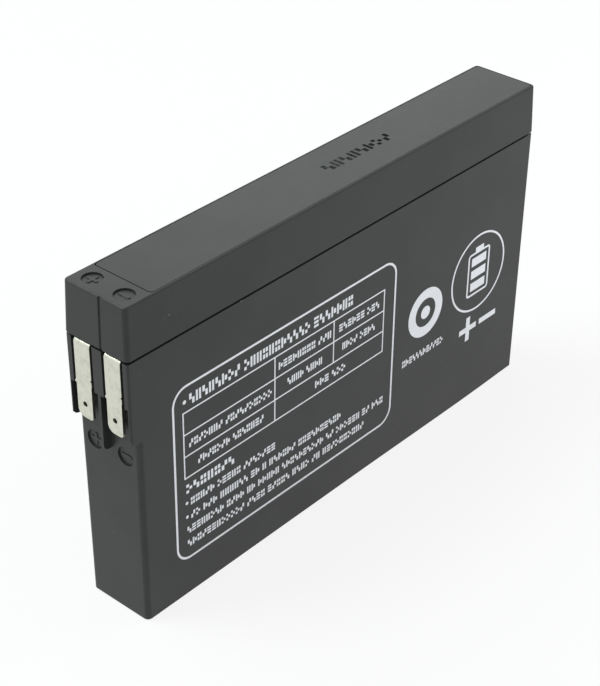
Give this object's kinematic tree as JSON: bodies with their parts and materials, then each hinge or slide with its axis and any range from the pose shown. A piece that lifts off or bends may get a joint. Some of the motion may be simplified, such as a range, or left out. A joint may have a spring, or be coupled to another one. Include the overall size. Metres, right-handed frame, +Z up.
{
  "type": "sealed lead acid battery",
  "caption": "Slim rectangular sealed battery in a black moulded case, with flat push-on tabs hanging down a recessed end wall.",
  "frame": {"origin": "middle of the footprint, on the surface that the battery stands on", "axes": "+X from the terminal end to the far end, the printed long side faces -Y, +Z up"},
  "size_m": [0.15, 0.02, 0.089],
  "materials": {
    "black_abs": "satin moulded",
    "tinned_brass": "tin plated, slightly dull",
    "pale_ink": "screen printed",
    "epoxy": "cast",
    "black_rubber": "matt",
    "lead": "dull cast",
    "glass_mat": "fibrous"
  },
  "bodies": {
    "root": {"container": "black_abs", "lid": "black_abs", "vent_cover": "black_abs", "terminal_positive": "tinned_brass", "terminal_negative": "tinned_brass", "terminal_seal_positive": "epoxy", "terminal_seal_negative": "epoxy", "return_lead": "tinned_brass", "vent_cap_1": "black_rubber", "positive_plates_1": "lead", "negative_plates_1": "lead", "separators_1": "glass_mat", "cell_link_1": "lead", "vent_cap_2": "black_rubber", "positive_plates_2": "lead", "negative_plates_2": "lead", "separators_2": "glass_mat", "cell_link_2": "lead", "vent_cap_3": "black_rubber", "positive_plates_3": "lead", "negative_plates_3": "lead", "separators_3": "glass_mat", "cell_link_3": "lead", "vent_cap_4": "black_rubber", "positive_plates_4": "lead", "negative_plates_4": "lead", "separators_4": "glass_mat", "cell_link_4": "lead", "vent_cap_5": "black_rubber", "positive_plates_5": "lead", "negative_plates_5": "lead", "separators_5": "glass_mat", "cell_link_5": "lead", "vent_cap_6": "black_rubber", "positive_plates_6": "lead", "negative_plates_6": "lead", "separators_6": "glass_mat"}
  },
  "joints": []
}
